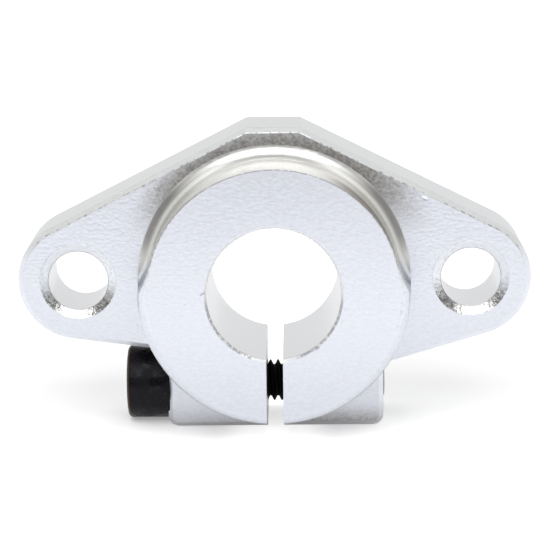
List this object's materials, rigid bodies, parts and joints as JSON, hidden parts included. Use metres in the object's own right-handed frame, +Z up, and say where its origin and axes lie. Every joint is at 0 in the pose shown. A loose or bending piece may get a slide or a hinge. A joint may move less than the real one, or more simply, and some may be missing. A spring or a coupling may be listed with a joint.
{
  "type": "flanged shaft support",
  "caption": "Flanged shaft support with a split clamp boss, two mounting holes in its ears and a cross screw that clamps the shaft.",
  "frame": {"origin": "on the shaft bore's axis, in the mounting face at the back of the flange", "axes": "+Z up, away from the clamp lug; X along the flange through the two mounting holes; -Y along the bore, from the mounting face towards the front of the boss"},
  "size_m": [0.047, 0.013, 0.028],
  "materials": {
    "casting": "die cast and sand blasted, with machined bore, band and countersinks",
    "screw": "black oxide, oiled"
  },
  "bodies": {
    "support": {"support_body": "casting"},
    "screw": {"clamp_screw": "screw"}
  },
  "joints": [
    {"name": "clamp_turn", "type": "hinge", "parent": "support", "child": "screw", "pos_m": [0, -0.0035, -0.0105], "axis": [-1, 0, 0], "range_deg": [0, 450]}
  ]
}
